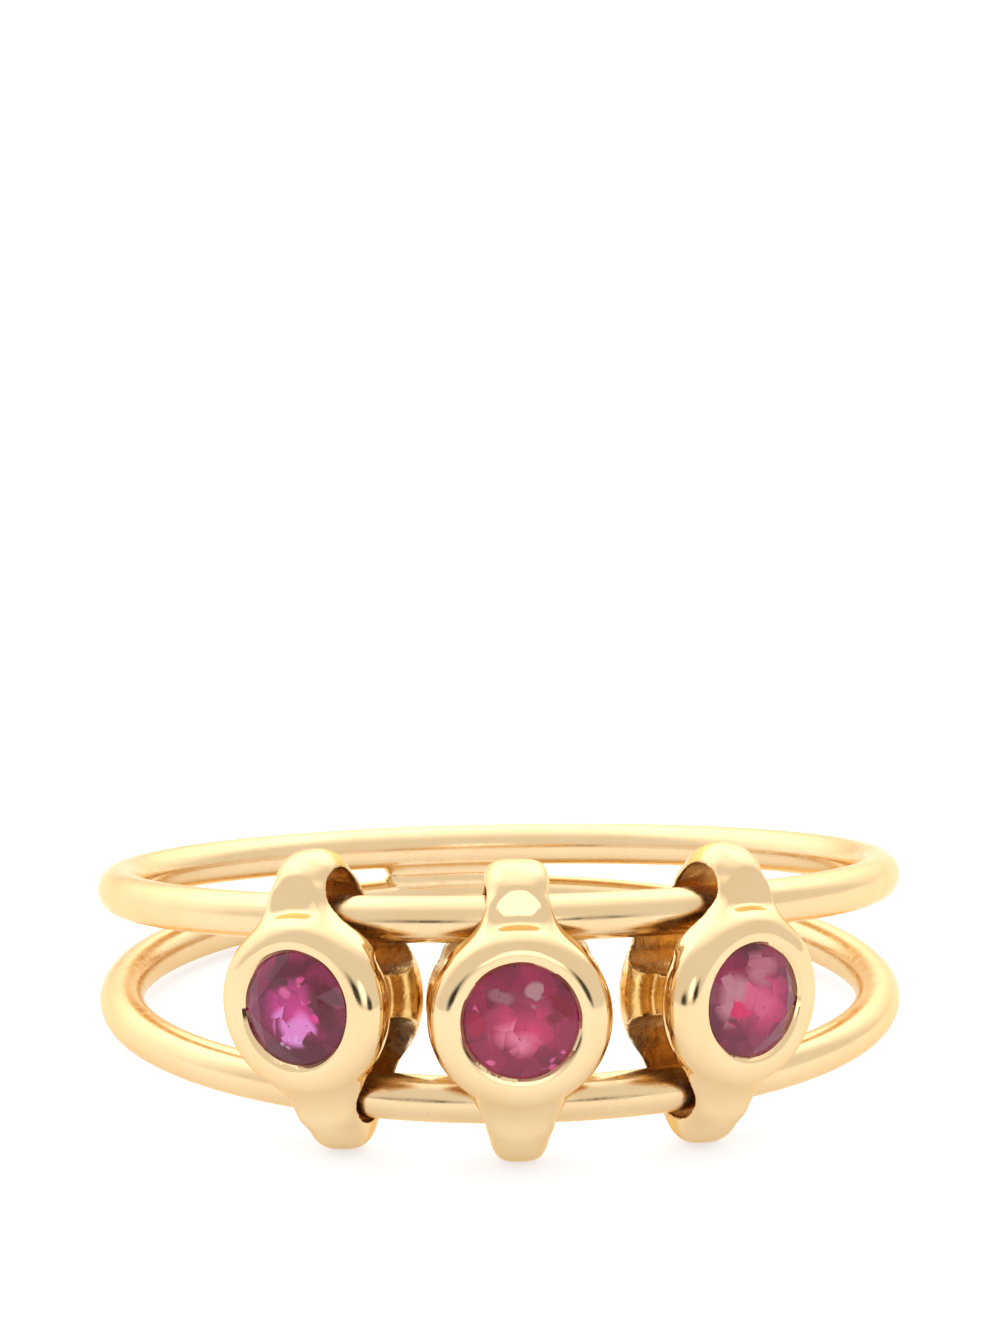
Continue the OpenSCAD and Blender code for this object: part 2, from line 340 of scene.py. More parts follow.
def turning(name, outline):
    """A closed round form about the front-to-back line, from an outline of (radius, depth)"""
    (radius, depth), rest = outline[0], outline[1:]
    deselect()
    bpy.ops.mesh.primitive_circle_add(
        vertices=SIDES, radius=radius, fill_type="NGON", location=(0, -depth, 0),
        rotation=(math.radians(90), 0, 0))
    piece = apply_place(named(name))
    pick(piece, faces=lambda face: True)
    for next_radius, next_depth in rest:
        bpy.ops.mesh.extrude_region_move(
            TRANSFORM_OT_translate={"value": (0, depth - next_depth, 0)})
        scale = next_radius / radius
        bpy.ops.transform.resize(value=(scale, scale, scale), center_override=(0, -next_depth, 0))
        radius, depth = next_radius, next_depth
    bpy.ops.mesh.select_all(action="SELECT")
    bpy.ops.mesh.normals_make_consistent(inside=False)
    done()
    return piece


def direction(azimuth, elevation):
    """Unit vector away from the ring, from degrees round from its front and up from the floor"""
    turn, up = math.radians(azimuth), math.radians(elevation)
    return Vector((math.sin(turn) * math.cos(up), -math.cos(turn) * math.cos(up), math.sin(up)))


def resting():
    """From the ring's own frame in mm to its resting place in metres"""
    lift = hoop_lift(bpy.context.scene.ring.hoops)
    return (Matrix.Scale(MM, 4) @ Matrix.Translation((0, RING_CENTRE_Y, lift))
            @ Matrix.Rotation(math.radians(-REST_TILT), 4, "X"))


def hoop_shape(sizes):
    """Wire radius, hoop radius, mean height and tilt of a hoop, in mm and radians"""
    wire = sizes.wire_diameter / MM / 2
    radius = sizes.finger_diameter / MM / 2 + wire
    front, back = sizes.front_spread / MM, sizes.back_spread / MM
    return wire, radius, (front + back) / 4, math.asin((front - back) / 4 / radius)


def hoop_lift(sizes):
    """Height of the ring's middle above the table in mm, with the lower hoop's back on it"""
    wire, radius, middle, tilt = hoop_shape(sizes)
    rest = math.radians(REST_TILT)
    return wire + middle * math.cos(rest) + radius * math.sin(rest - tilt)


def on_wires(angle, lean, twist):
    """From a setting's own frame in mm to its place on the wires in metres, at the height where
    its lower lug touches the table"""
    sizes = bpy.context.scene.ring.hoops
    radius = hoop_shape(sizes)[1]
    reach = bpy.context.scene.ring.setting.reach / MM
    turn, side, rest = math.radians(angle), math.radians(lean), math.radians(REST_TILT)
    height = ((reach - LOWER_BALL_R) * math.cos(side)
              + (LOWER_BALL_R - hoop_lift(sizes)
                 - (radius + HOLE_DEPTH) * math.cos(turn) * math.sin(rest)) / math.cos(rest))
    return (resting() @ Matrix.Rotation(turn, 4, "Z") @ Matrix.Translation((0, -radius, height))
            @ Matrix.Rotation(side, 4, "Y") @ Matrix.Rotation(math.radians(twist), 4, "Z"))


def put(piece, place):
    """Moves a piece modelled in mm to its place in metres"""
    piece.matrix_world = place
    return apply_place(piece)


def finish_in(piece, material):
    """Gives the whole piece one material"""
    piece.data.materials.clear()
    piece.data.materials.append(material)
    piece.data.polygons.foreach_set("material_index", [0] * len(piece.data.polygons))


def polish(piece, angle=30):
    """Shades a piece smooth, apart from edges that are sharper than the angle"""
    only(piece)
    bpy.ops.object.shade_smooth_by_angle(angle=math.radians(angle))
    return piece


# ---------------------------------------------------------------- materials

def new_material(name):
    """A material with its node tree and its shader"""
    material = bpy.data.materials.new(name)
    material.use_nodes = True
    tree = material.node_tree
    return material, tree, tree.nodes["Principled BSDF"]


def add(tree, kind, inputs=None, **settings):
    """Adds a node with its settings and its inputs' values"""
    node = tree.nodes.new(kind)
    for key, value in settings.items():
        setattr(node, key, value)
    for key, value in (inputs or {}).items():
        node.inputs[key].default_value = value
    return node


def in_mm(tree):
    """Object coordinates in millimetres"""
    place = add(tree, "ShaderNodeTexCoord")
    scale = add(tree, "ShaderNodeMapping", {"Scale": (1 / MM, 1 / MM, 1 / MM)})
    tree.links.new(place.outputs["Object"], scale.inputs["Vector"])
    return scale.outputs["Vector"]


def noise(tree, vector, scale, detail=2.0, distortion=0.0):
    """Cloudy values from 0 to 1, mostly near the middle"""
    node = add(tree, "ShaderNodeTexNoise",
               {"Scale": scale, "Detail": detail, "Distortion": distortion})
    tree.links.new(vector, node.inputs["Vector"])
    return node.outputs["Fac"]


def between(tree, value, low, high, to_low, to_high):
    """Carries a value from one range to another one, and holds it at the ends"""
    node = add(tree, "ShaderNodeMapRange",
               {"From Min": low, "From Max": high, "To Min": to_low, "To Max": to_high})
    tree.links.new(value, node.inputs["Value"])
    return node.outputs["Result"]


def bump(tree, height, depth, under=None):
    """A bump whose depth is given in mm"""
    node = add(tree, "ShaderNodeBump", {"Strength": 1.0, "Distance": depth * MM})
    tree.links.new(height, node.inputs["Height"])
    if under:
        tree.links.new(under, node.inputs["Normal"])
    return node.outputs["Normal"]


def gold_material(name, drawn=False):
    """Polished gold with faint clouds, hairlines and the soft waviness of a hand polish"""
    look = bpy.context.scene.ring.gold
    material, tree, shader = new_material(name)
    place = in_mm(tree)
    shader.inputs["Metallic"].default_value = 1.0
    shader.inputs["Specular Tint"].default_value = (1.0, 0.86, 0.64, 1)

    clouds = between(tree, noise(tree, place, 0.55, 3.0), 0.35, 0.65, 0, 1)
    tree.links.new(tinted(tree, look.colour, clouds, look.warm), shader.inputs["Base Color"])

    rubbed = noise(tree, place, 3.2, 4.0, 0.4)
    rough = look.drawn if drawn else look.polish
    tree.links.new(between(tree, rubbed, 0.3, 0.75, rough * 0.7, rough * 1.6),
                   shader.inputs["Roughness"])

    wavy = bump(tree, noise(tree, place, 0.8, 1.0), 0.008)
    hairs = bump(tree, noise(tree, place, 11.0, 2.0, 0.6), 0.00015, wavy)
    if drawn:
        along = add(tree, "ShaderNodeUVMap", uv_map="UVMap")
        lines = add(tree, "ShaderNodeMapping", {"Scale": (9, 26, 1)})
        tree.links.new(along.outputs["UV"], lines.inputs["Vector"])
        hairs = bump(tree, noise(tree, lines.outputs["Vector"], 1.0, 2.0), 0.0008, hairs)
    tree.links.new(hairs, shader.inputs["Normal"])
    return material


def hole_material(name, place):
    """Gold in the drilled holes painted darker as painted shade, amber as it was cast at their
    inner ends, and with a painted highlight on the edge of the back plate beside them"""
    material, tree, shader = new_material(name)
    spot = in_mm(tree)
    shader.inputs["Metallic"].default_value = 1.0
    x, y, z = own_axes(tree, place)
    from_middle = math_of(tree, "ABSOLUTE", z, 0.0)
    to_side = math_of(tree, "ABSOLUTE", x, 0.0)
    grain = noise(tree, spot, 5.0, 4.0)
    # painted shade: the hole walls are painted in two dark tones, mixed by grain, much darker than
    # the gold
    painted_hole_shade = tinted(tree, (0.60, 0.36, 0.14), grain, (0.42, 0.24, 0.09))
    near = between(tree, from_middle, 1.15, 1.55, 1.0, 0.0)
    cast = tinted(tree, painted_hole_shade, near, (0.86, 0.56, 0.20))
    # painted highlight: the hole walls near the back plate's edge are painted paler
    edge = math_of(tree, "MULTIPLY", between(tree, y, 0.40, 0.62, 0.0, 1.0),
                   between(tree, to_side, 0.9, 1.3, 0.0, 1.0))
    tree.links.new(tinted(tree, cast, edge, (0.90, 0.72, 0.46)), shader.inputs["Base Color"])
    tree.links.new(between(tree, grain, 0.3, 0.7, 0.2, 0.36), shader.inputs["Roughness"])
    rough = bump(tree, noise(tree, spot, 2.4, 2.0, 0.5), 0.02)
    tree.links.new(bump(tree, noise(tree, spot, 11.0, 3.0), 0.002, rough), shader.inputs["Normal"])
    return material


def math_of(tree, kind, one, two):
    """The outcome of a math node on two values, each a number or a socket"""
    node = add(tree, "ShaderNodeMath", operation=kind)
    for socket, value in zip(node.inputs, (one, two)):
        if isinstance(value, float):
            socket.default_value = value
        else:
            tree.links.new(value, socket)
    return node.outputs["Value"]


def neck_material(name, place):
    """Gold left as it was cast on the neck, passing softly into the polish round it"""
    look = bpy.context.scene.ring.gold
    material, tree, shader = new_material(name)
    spot = in_mm(tree)
    shader.inputs["Metallic"].default_value = 1.0
    shader.inputs["Specular Tint"].default_value = (1.0, 0.86, 0.64, 1)

    x, y, z = own_axes(tree, place)
    from_middle = math_of(tree, "SQRT", math_of(tree, "ADD", math_of(tree, "MULTIPLY", x, x),
                                                math_of(tree, "MULTIPLY", z, z)), 0.0)
    inside = math_of(tree, "MAXIMUM", between(tree, from_middle, 1.60, 1.80, 1.0, 0.0),
                     between(tree, y, -0.05, 0.15, 0.0, 1.0))
    ends = math_of(tree, "MULTIPLY", between(tree, y, -0.80, -0.60, 0.0, 1.0),
                   between(tree, y, 0.45, 0.62, 1.0, 0.0))
    raw = math_of(tree, "MULTIPLY", inside, ends)

    grain = noise(tree, spot, 5.0, 4.0)
    cast = tinted(tree, (0.86, 0.58, 0.23), grain, (0.72, 0.42, 0.12))
    tree.links.new(tinted(tree, look.colour, raw, cast), shader.inputs["Base Color"])
    matt = math_of(tree, "MULTIPLY", raw, grain)
    tree.links.new(between(tree, matt, 0.0, 0.6, look.polish, 0.34), shader.inputs["Roughness"])
    lumps = math_of(tree, "MULTIPLY", raw, noise(tree, spot, 2.4, 2.0, 0.5))
    fine = math_of(tree, "MULTIPLY", raw, noise(tree, spot, 11.0, 3.0))
    tree.links.new(bump(tree, fine, 0.003, bump(tree, lumps, 0.045)), shader.inputs["Normal"])
    return material


def in_setting(tree, place):
    """Coordinates in millimetres in the setting's own frame, X across and Z up its face"""
    back = place.inverted()
    where = add(tree, "ShaderNodeTexCoord")
    turned = add(tree, "ShaderNodeMapping", {
        "Location": back.to_translation(),
        "Rotation": back.to_3x3().normalized().to_euler("XYZ"),
        "Scale": (1 / MM, 1 / MM, 1 / MM)})
    tree.links.new(where.outputs["Object"], turned.inputs["Vector"])
    return turned.outputs["Vector"]


def own_axes(tree, place):
    """The three coordinates in a setting's own frame"""
    parts = add(tree, "ShaderNodeSeparateXYZ")
    tree.links.new(in_setting(tree, place), parts.inputs["Vector"])
    return [parts.outputs[axis] for axis in "XYZ"]


def ragged(tree, vector, scale, amount):
    """Shifts coordinates by shards, so that a round patch gets a broken edge"""
    cloud = add(tree, "ShaderNodeTexVoronoi", {"Scale": scale})
    tree.links.new(vector, cloud.inputs["Vector"])
    shift = add(tree, "ShaderNodeVectorMath", operation="MULTIPLY_ADD")
    tree.links.new(cloud.outputs["Color"], shift.inputs[0])
    shift.inputs[1].default_value = (amount, amount, amount)
    middle = add(tree, "ShaderNodeVectorMath", operation="SUBTRACT")
    tree.links.new(vector, middle.inputs[0])
    middle.inputs[1].default_value = (amount / 2, amount / 2, amount / 2)
    tree.links.new(middle.outputs["Vector"], shift.inputs[2])
    return shift.outputs["Vector"]


def patch(tree, vector, x, z, wide, high, soft):
    """1 in an oval across X and Z, falling to 0 at its edge"""
    oval = add(tree, "ShaderNodeMapping", {
        "Location": (-x / wide, 0, -z / high), "Scale": (1 / wide, 0, 1 / high)})
    tree.links.new(vector, oval.inputs["Vector"])
    ball = add(tree, "ShaderNodeTexGradient", gradient_type="SPHERICAL")
    tree.links.new(oval.outputs["Vector"], ball.inputs["Vector"])
    return between(tree, ball.outputs["Fac"], 0.0, soft, 0.0, 1.0)


def tinted(tree, base, factor, colour):
    """Lays a colour over another one, each of them a socket or three numbers"""
    node = add(tree, "ShaderNodeMix", data_type="RGBA")
    tree.links.new(factor, node.inputs["Factor"])
    for key, value in (("A", base), ("B", colour)):
        if hasattr(value, "links"):
            tree.links.new(value, node.inputs[key])
        else:
            node.inputs[key].default_value = (*value, 1)
    return node.outputs["Result"]


def times(colour, share):
    """A colour made darker or lighter"""
    return tuple(share * one for one in colour)


def ruby_material(name, place, colour, body, painted_light_patches):
    """Ruby: half clear, with colour that deepens with the light's path, half clouded by fine silk
    inside, with painted light and shade: facets painted lighter and darker, and patches of painted
    glow, glint, reflection and shade where it lies"""
    look = bpy.context.scene.ring.ruby
    material, tree, shader = new_material(name)
    own = in_setting(tree, place)
    shader.inputs["Transmission Weight"].default_value = look.clarity
    shader.inputs["IOR"].default_value = 1.77
    shader.inputs["Specular IOR Level"].default_value = 0.1

    facing = add(tree, "ShaderNodeTexCoord")
    # painted light and shade on the facets: each facet's tone, keyed to its normal, lies between a
    # shaded and a lit copy of the body colour
    painted_facet_light = between(tree, noise(tree, facing.outputs["Normal"], 2.6, 1.0), 0.36, 0.62, 0, 1)
    shade = tinted(tree, times(body, 0.55), painted_facet_light, times(body, 1.5))
    silk = between(tree, noise(tree, own, 1.7, 3.0, 0.6), 0.45, 0.7, 0, 0.6)
    shade = tinted(tree, shade, silk, times(body, 1.6))
    uneven = ragged(tree, own, 2.6, 0.34)
    # painted light and shade: the stone's painted glows, glints, reflections and edge shade are
    # laid over its colour
    for x, z, wide, high, soft, tint in painted_light_patches:
        shade = tinted(tree, shade, patch(tree, uneven, x, z, wide, high, soft), tint)
    specks = between(tree, noise(tree, own, 9.0, 2.0), 0.27, 0.31, 1.0, 0.0)
    shade = tinted(tree, shade, specks, times(body, 0.35))
    tree.links.new(shade, shader.inputs["Base Color"])
    tree.links.new(between(tree, noise(tree, own, 6.0, 3.0), 0.3, 0.7, 0.015, 0.07),
                   shader.inputs["Roughness"])
    tree.links.new(bump(tree, noise(tree, own, 5.0, 2.0), 0.0008), shader.inputs["Normal"])
    depth = add(tree, "ShaderNodeVolumeAbsorption", {"Density": look.depth})
    depth.inputs["Color"].default_value = (*colour, 1)
    tree.links.new(depth.outputs["Volume"], tree.nodes["Material Output"].inputs["Volume"])
    return material


# ---------------------------------------------------------------- pieces

class RING_OT_hoops(bpy.types.Operator):
    """Makes the two wire hoops, soldered together at the back"""
    bl_idname = "ring.hoops"
    bl_label = "Make the Hoops"

    def execute(self, context):
        sizes = context.scene.ring.hoops
        wire, radius, middle, tilt = hoop_shape(sizes)
        hoops = []
        for side in (1, -1):
            deselect()
            bpy.ops.mesh.primitive_torus_add(
                major_segments=360, minor_segments=40, major_radius=radius, minor_radius=wire,
                location=(0, 0, side * middle), rotation=(-side * tilt, 0, 0))
            hoops.append(apply_place(named(f"hoop{side}")))
        web = self.solder(sizes)
        piece = cut(hoops[0], hoops[1], web, operation="UNION")
        piece.name = piece.data.name = "wire_hoops"
        finish_in(piece, gold_material("drawn_gold", drawn=True))
        put(polish(piece, 40), resting())
        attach(piece, "shank")
        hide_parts("shank")
        return {"FINISHED"}

    def solder(self, sizes):
        """The solder between the wires: thin in the middle, spreading up and down the wires"""
        _wire, radius, middle, tilt = hoop_shape(sizes)
        half = sizes.solder_angle / 2
        thickness, thinner, waist, sunk = 0.47, 0.16, 0.3, 0.05
        deselect()
        bpy.ops.mesh.primitive_cube_add(size=2)
        web = named("solder")
        pick(web, faces=lambda face: True)
        bpy.ops.mesh.subdivide(number_cuts=40)
        done()
        for vert in web.data.vertices:
            out, along, up = vert.co
            top = middle - radius * math.sin(tilt) * math.cos(along * half) - sunk
            z = top * up
            hollow = 1 - min(1.0, abs(z) / waist) ** 2
            angle = math.radians(90) + along * half * (1.04 - 0.2 * hollow * along * along)
            taper = max(0.0, 1 - abs(along) ** 4) ** 0.5
            thick = (0.04 + 0.96 * taper) * (thickness - thinner * hollow)
            vert.co = ((radius + out * thick) * math.cos(angle),
                       (radius + out * thick) * math.sin(angle), z)
        pick(web, faces=lambda face: True)
        bpy.ops.mesh.normals_make_consistent(inside=False)
        done()
        return web


def shoulder(x, y, z):
    """Weight where the lugs flow into the rim: beside the upper lug's flat and in the crease
    under it, and all round the lower lug"""
    crease_z = 2.12
    high = ramp(abs(z), 1.3, 1.65) * ramp(-abs(z), -2.8, -2.4)
    high *= max(ramp(-y, 0.3, 0.6), 0.7 * ramp(y, 0.45, 0.75))
    if z > 0 and y < 0:
        crease = 1 - ramp(abs(z - crease_z), 0.10, 0.28)
        return high * max(0.12 + 0.88 * ramp(abs(x), 0.4, 0.75), 0.85 * crease)
    return high * 0.8


def rim_back_edge(x, y, z):
    """Weight on the edges that the holes leave where they come out through the rim's back"""
    out = math.hypot(x, z - RIM_RISE)
    return (ramp(out, 1.35, 1.6) * ramp(-out, -2.25, -2.05) * ramp(abs(x), 0.9, 1.1)
            * ramp(-abs(y + 0.55), -0.45, -0.2))


class RING_OT_settings(bpy.types.Operator):
    """Makes the three settings: one is modelled, and each is a copy of it with its own mesh"""
    bl_idname = "ring.settings"
    bl_label = "Make the Settings"

    def execute(self, context):
        blank = self.casting(context.scene.ring.setting)
        gold = gold_material("cast_gold")
        for node, body, _stone, angle, lean, twist, shift, tip in SETTINGS:
            only(blank)
            bpy.ops.object.duplicate()
            piece = named(f"{node}_cast")
            self.shape_tip(piece, tip, shift)
            place = on_wires(angle, lean, twist)
            finish_in(piece, gold)
            self.line_holes(piece, neck_material(f"{body}_neck", place),
                            hole_material(f"{body}_hole", place))
            put(polish(piece), place)
            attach(piece, body)
            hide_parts(node)
        only(blank)
        bpy.ops.object.delete()
        return {"FINISHED"}

    def shape_tip(self, piece, tip, shift):
        """Rounds the squarish tip of the upper lug further and shifts it sideways"""
        middle = bpy.context.scene.ring.setting.reach / MM - UPPER_BALL_R
        for vert in piece.data.vertices:
            up = min(0.97, max(0.0, (vert.co.z - middle) / UPPER_BALL_R))
            vert.co.x *= (1 - up ** tip) ** (1 / tip) / (1 - up ** TIP_POWER) ** (1 / TIP_POWER)
            vert.co.x += shift * ramp(vert.co.z, 1.6, 2.5)

    def casting(self, sizes):
        """A setting's blank: rim, neck, plate and lugs in one, drilled and opened for the stone"""
        rim_r, rim_t = sizes.rim_radius / MM, sizes.rim_section / MM
        plate_r, plate_t = sizes.plate_radius / MM, sizes.plate_thickness / MM
        deselect()
        bpy.ops.mesh.primitive_torus_add(
            major_segments=128, minor_segments=40, major_radius=rim_r, minor_radius=rim_t,
            location=(0, RIM_Y, RIM_RISE), rotation=(math.radians(90), 0, 0))
        body = apply_place(named("casting"))

        deselect()
        bpy.ops.mesh.primitive_cylinder_add(
            vertices=SIDES, radius=NECK_R, depth=NECK_BACK - NECK_FRONT,
            location=(0, (NECK_FRONT + NECK_BACK) / 2, RIM_RISE),
            rotation=(math.radians(90), 0, 0))
        neck = apply_place(named("neck"))

        deselect()
        bpy.ops.mesh.primitive_cylinder_add(
            vertices=SIDES, radius=plate_r, depth=plate_t,
            location=(0, PLATE_BACK - plate_t / 2, RIM_RISE), rotation=(math.radians(90), 0, 0))
        plate = apply_place(named("plate"))
        pick(plate, edges=lambda edge: len({round(v.co.y, 4) for v in edge.verts}) == 1)
        bpy.ops.mesh.bevel(offset=plate_t * 0.46, segments=8, affect="EDGES")
        done()

        upper = self.lug("upper", ball=UPPER_BALL_R, half_depth=1.05, half_width=0.76,
                         power=TIP_POWER, hollow=0.9, meets=2.1, centre=RIM_RISE, front=0.98,
                         slope=0.12, swell=0.52, swell_over=0.8, panel=(0.40, 0.66))
        lower = self.lug("lower", ball=0.95, half_depth=0.95, half_width=0.645, power=3.4,
                         hollow=3.0, meets=2.03, centre=-RIM_RISE, front=0.97, slope=0.0,
                         swell=0.58, swell_over=0.8, panel=None)
        pick(lower, verts=lambda vert: True)
        bpy.ops.transform.mirror(orient_type="GLOBAL", constraint_axis=(False, False, True),
                                 center_override=(0, 0, 0))
        bpy.ops.mesh.normals_make_consistent(inside=False)
        done()
        body = join(body, neck, plate, upper, lower)
        recast(body, 0.045, 10)
        soften(body, shoulder, 45)
        cut(body, self.drill("upper_hole", UPPER_HOLE, 1),
            self.drill("lower_hole", LOWER_HOLE, -1))
        recast(body, 0.04, 5)
        soften(body, rim_back_edge, 20)
        return cut(body, self.seat(sizes.window_diameter / MM / 2))

    def seat(self, window):
        """The stone's room: a cone under it, a band round its girdle, the burnished lip's inside
        and the window over the stone, which is a little uneven"""
        girdle, lip = 1.43, 1.50
        piece = turning("seat", (
            (0.06, 0.18), (girdle, 1.33), (girdle, 1.45), (window, lip),
            (window + 0.07, lip + 0.06), (window + 0.08, 2.4)))
        for vert in piece.data.vertices:
            x, y, z = vert.co
            if -y > lip - 0.02:
                angle = math.atan2(z, x)
                grow = 1 + 0.005 * math.sin(4 * angle) + 0.003 * math.sin(9 * angle + 1)
                vert.co = (x * grow, y, z * grow)
        piece.location = (0, 0, RIM_RISE)
        return apply_place(piece)

    def line_holes(self, piece, neck, hole):
        """Leaves the neck and the walls of the two wire holes unpolished, with painted shade in
        the holes and a painted highlight where they reach the back plate's edge
        """
        piece.data.materials.append(neck)
        piece.data.materials.append(hole)
        neck_reach, spare = 1.85, 0.035
        for face in piece.data.polygons:
            x, y, z = face.center
            round_neck = y > -0.1 or math.hypot(x, z - RIM_RISE) < neck_reach
            if -0.85 < y < 0.65 and round_neck:
                face.material_index = 1
            outer = UPPER_HOLE if z > 0 else LOWER_HOLE
            along = min(outer, max(INNER_HOLE, abs(z)))
            wide = (along - INNER_HOLE) / (outer - INNER_HOLE)
            wall = INNER_HOLE_R + (HOLE_R - INNER_HOLE_R) * wide
            if math.hypot(y + HOLE_DEPTH, abs(z) - along) < wall + spare:
                face.material_index = 2

    def lug(self, name, ball, half_depth, half_width, power, hollow, meets, centre, front, slope,
            swell, swell_over, panel):
        """One lug pointing up: a ball pressed into a thumb shape, with a hollow on each side
        where it leaves the round rim, and a front that swells up to the rim beside its flat.
        The powers round its plan and tip: 2 is an ellipse, and more is squarer."""
        reach = bpy.context.scene.ring.setting.reach / MM
        middle = reach - ball
        foot, rim_edge, back = 0.9, 1.83, 0.92
        hollow_x = half_width + hollow
        hollow_z = math.sqrt((meets + hollow) ** 2 - hollow_x ** 2) + centre
        touch_z = (hollow_z - centre) * meets / (meets + hollow) + centre

        def half_width_at(z):
            if z >= hollow_z:
                return half_width
            if z >= touch_z:
                return hollow_x - math.sqrt(hollow ** 2 - (hollow_z - z) ** 2)
            return math.sqrt(meets ** 2 - (z - centre) ** 2)

        deselect()
        bpy.ops.mesh.primitive_uv_sphere_add(segments=96, ring_count=64, radius=1.0)
        piece = named(name)
        for vert in piece.data.vertices:
            x, y, z = vert.co
            flat = math.hypot(x, y)
            angle = math.atan2(y, x)
            if z >= 0:
                height = middle + ball * z
                depth_here = half_depth * math.sqrt(max(0.0, 1 - z * z))
                width_here = half_width_at(height) * max(0.0, 1 - z ** power) ** (1 / power)
                plan = 2.6 + 3.4 * (1 - ramp(z, 0.0, 0.45))
            else:
                height = middle + (middle - foot) * z
                close = (1 - (-z) ** 8) ** (1 / 8)
                depth_here = half_depth * close
                width_here = half_width_at(height) * close
                plan = 6.0
            c, s = math.cos(angle), math.sin(angle)
            round_by = (abs(c) ** plan + abs(s) ** plan) ** (-1 / plan)
            if flat < 1e-6:
                width_here = depth_here = 0.0
            across = width_here * c * round_by
            out = math.hypot(across, height - centre) - rim_edge
            beyond = min(1.0, max(0.0, out / swell_over))
            beside = 0.12 + 0.88 * ramp(abs(across), *panel) if panel else 1.0
            raised = swell * (1 - beyond) ** 2 * beside
            face = front + raised - slope * max(0.0, height - 2.1)
            deep = -(depth_here + (raised if s < 0 else 0.0)) * s * round_by
            deep = min(face, max(-back, deep))
            vert.co = (across, -(deep + HOLE_DEPTH), height)
        return piece

    def drill(self, name, outer, side):
        """One hole's drill across the setting, wide at the lug and narrower towards the middle"""
        deselect()
        bpy.ops.mesh.primitive_cylinder_add(
            vertices=SIDES, radius=HOLE_R, depth=6, location=(0, -HOLE_DEPTH, outer),
            rotation=(0, math.radians(90), 0))
        piece = apply_place(named(name))
        pick(piece, verts=lambda vert: vert.co.z < outer - 0.001)
        bpy.ops.transform.translate(value=(0, 0, INNER_HOLE - outer))
        scale = INNER_HOLE_R / HOLE_R
        bpy.ops.transform.resize(value=(1, scale, scale),
                                 center_override=(0, -HOLE_DEPTH, INNER_HOLE))
        if side < 0:
            bpy.ops.mesh.select_all(action="SELECT")
            bpy.ops.transform.mirror(orient_type="GLOBAL", constraint_axis=(False, False, True),
                                     center_override=(0, 0, 0))
            bpy.ops.mesh.normals_make_consistent(inside=False)
        done()
        return piece


class RING_OT_rubies(bpy.types.Operator):
    """Gives the three stones their ruby"""
    bl_idname = "ring.rubies"
    bl_label = "Finish the Rubies"

    def execute(self, context):
        look = context.scene.ring.ruby
        for _node, _body, stone, angle, lean, twist, _shift, _tip in SETTINGS:
            colour = look.magenta if stone == "left_ruby" else look.crimson
            body, painted_light_patches = STONES[stone]
            finish_in(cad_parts[stone],
                      ruby_material(stone, on_wires(angle, lean, twist), colour, body, painted_light_patches))
        return {"FINISHED"}


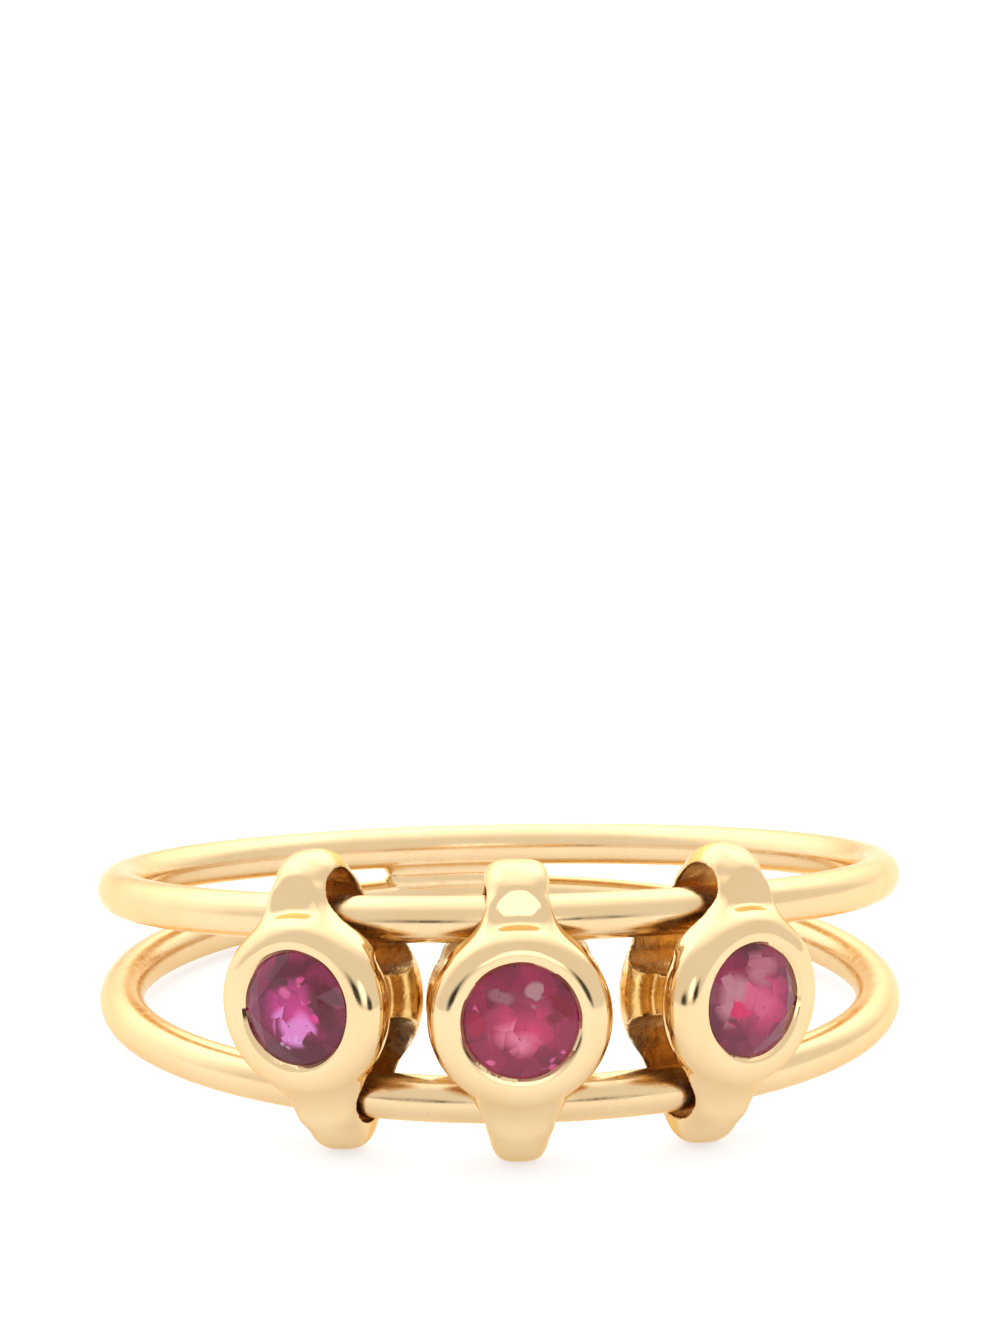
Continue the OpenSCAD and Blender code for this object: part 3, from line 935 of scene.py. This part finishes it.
class RING_OT_stage(bpy.types.Operator):
    """Sets the floor, the lights and the camera"""
    bl_idname = "ring.stage"
    bl_label = "Set the Stage"

    def execute(self, context):
        look = context.scene.ring.stage
        self.floor(look)
        self.light(look)
        self.camera(context, look)
        context.scene.view_settings.view_transform = "Standard"
        return {"FINISHED"}

    def floor(self, look):
        """White paper on a light table"""
        deselect()
        bpy.ops.mesh.primitive_plane_add(size=3.0)
        floor = named("floor")
        material, tree, shader = new_material("white_paper")
        clouds = noise(tree, in_mm(tree), 0.4, 4.0)
        tree.links.new(tinted(tree, look.floor, clouds, times(look.floor, 0.985)),
                       shader.inputs["Base Color"])
        shader.inputs["Roughness"].default_value = 0.7
        shader.inputs["Specular IOR Level"].default_value = 0.2
        shader.inputs["Emission Color"].default_value = (0.95, 1.0, 1.06, 1)
        shader.inputs["Emission Strength"].default_value = look.floor_glow
        floor.data.materials.append(material)

    def light(self, look):
        """A white tent, brighter overhead, at the sides and low in front, with a dark gap on
        each side of the light in front"""
        world = bpy.data.worlds.new("white_tent")
        world.use_nodes = True
        tree = world.node_tree
        tent = tree.nodes["Background"]
        tent.inputs["Color"].default_value = (1.0, 1.0, 1.0, 1)
        towards = add(tree, "ShaderNodeTexCoord").outputs["Generated"]
        parts = add(tree, "ShaderNodeSeparateXYZ")
        tree.links.new(towards, parts.inputs["Vector"])
        ahead = between(tree, parts.outputs["Y"], -0.3, -0.6, 0.0, 1.0)

        def lobe(azimuth, elevation, outer, inner):
            """1 within the inner angle of a direction, falling to 0 at the outer one"""
            near = add(tree, "ShaderNodeVectorMath", operation="DOT_PRODUCT")
            tree.links.new(towards, near.inputs[0])
            near.inputs[1].default_value = direction(azimuth, elevation)
            soft = add(tree, "ShaderNodeMapRange", {
                "From Min": math.cos(math.radians(outer)),
                "From Max": math.cos(math.radians(inner)),
                "To Min": 0.0, "To Max": 1.0}, interpolation_type="SMOOTHSTEP")
            tree.links.new(near.outputs["Value"], soft.inputs["Value"])
            return soft.outputs["Result"]

        front = patch(tree, towards, x=0.0, z=0.22, wide=0.22, high=0.19, soft=0.3)
        brightness = look.surround
        for share, spot in (
                (look.top_light, lobe(azimuth=180, elevation=62, outer=62, inner=18)),
                (look.side_light, lobe(azimuth=-130, elevation=30, outer=50, inner=10)),
                (look.side_light, lobe(azimuth=150, elevation=35, outer=45, inner=10)),
                (look.front_light, math_of(tree, "MULTIPLY", ahead, front))):
            lit = math_of(tree, "MULTIPLY", spot, share)
            brightness = math_of(tree, "ADD", lit, brightness)
        for x, z, wide, high in ((-0.454, 0.06, 0.25, 0.20), (0.342, 0.06, 0.22, 0.20)):
            gap = math_of(tree, "MULTIPLY", ahead, patch(tree, towards, x, z, wide, high, 0.5))
            left = between(tree, gap, 0.0, 1.0, 1.0, look.gap)
            brightness = math_of(tree, "MULTIPLY", brightness, left)
        tree.links.new(brightness, tent.inputs["Strength"])
        bpy.context.scene.world = world
        self.softbox("overhead", azimuth=0, elevation=80, distance=0.25, size=(0.2, 0.2),
                     brightness=look.overhead)

    def softbox(self, name, azimuth, elevation, distance, size, brightness):
        """A soft light that faces the ring and lights the floor, but isn't seen in the gold"""
        towards = direction(azimuth, elevation)
        data = bpy.data.lights.new(name, "AREA")
        data.shape = "RECTANGLE"
        data.size, data.size_y = size
        data.energy = brightness * math.pi * size[0] * size[1]
        lamp = bpy.data.objects.new(name, data)
        bpy.context.scene.collection.objects.link(lamp)
        lamp.matrix_world = (Matrix.Translation(towards * distance)
                             @ towards.to_track_quat("Z", "Y").to_matrix().to_4x4())
        lamp.visible_glossy = False

    def camera(self, context, look):
        """Looks from the photo's angle, turned up so that the ring lies low in the frame, and
        leaning a little as the photo does"""
        data = bpy.data.cameras.new("camera")
        data.lens = look.lens
        data.sensor_width = 36
        data.clip_start, data.clip_end = 0.001, 10
        camera = bpy.data.objects.new("camera", data)
        context.scene.collection.objects.link(camera)
        target = Vector((0, RING_CENTRE_Y, hoop_lift(context.scene.ring.hoops))) * MM
        raised, rolled = math.radians(3.301), math.radians(0.167)
        back = direction(math.degrees(look.azimuth), math.degrees(look.elevation))
        right = Vector((0, 0, 1)).cross(back).normalized()
        up = back.cross(right)
        back_raised = back * math.cos(raised) - up * math.sin(raised)
        up_raised = up * math.cos(raised) + back * math.sin(raised)
        right_rolled = right * math.cos(rolled) + up_raised * math.sin(rolled)
        up_rolled = up_raised * math.cos(rolled) - right * math.sin(rolled)
        axes = Matrix((right_rolled, up_rolled, back_raised)).transposed().to_4x4()
        camera.matrix_world = Matrix.Translation(target + back * look.distance) @ axes
        context.scene.camera = camera


class RING_PT_panel(bpy.types.Panel):
    """Lists the ring's pieces and sizes"""
    bl_idname = "RING_PT_panel"
    bl_label = "Ruby Ring"
    bl_space_type = "VIEW_3D"
    bl_region_type = "UI"
    bl_category = "Ruby Ring"

    def draw(self, context):
        layout = self.layout
        for operator in STEPS:
            layout.operator(operator)
        for group in ("hoops", "setting", "gold", "ruby", "stage"):
            box = layout.box()
            values = getattr(context.scene.ring, group)
            for key in values.__annotations__:
                box.prop(values, key)


STEPS = ("ring.hoops", "ring.settings", "ring.rubies", "ring.stage")
CLASSES = (HoopSizes, SettingSizes, GoldLook, RubyLook, StageLook, RingProperties,
           RING_OT_hoops, RING_OT_settings, RING_OT_rubies, RING_OT_stage, RING_PT_panel)


def register():
    for one in CLASSES:
        bpy.utils.register_class(one)
    bpy.types.Scene.ring = PointerProperty(
        type=RingProperties, name="Ruby Ring", description="Sizes and looks of the ring")


def unregister():
    del bpy.types.Scene.ring
    for one in reversed(CLASSES):
        bpy.utils.unregister_class(one)


def main():
    register()
    bpy.ops.ring.hoops()
    bpy.ops.ring.settings()
    bpy.ops.ring.rubies()
    bpy.ops.ring.stage()


if __name__ == "__main__":
    main()
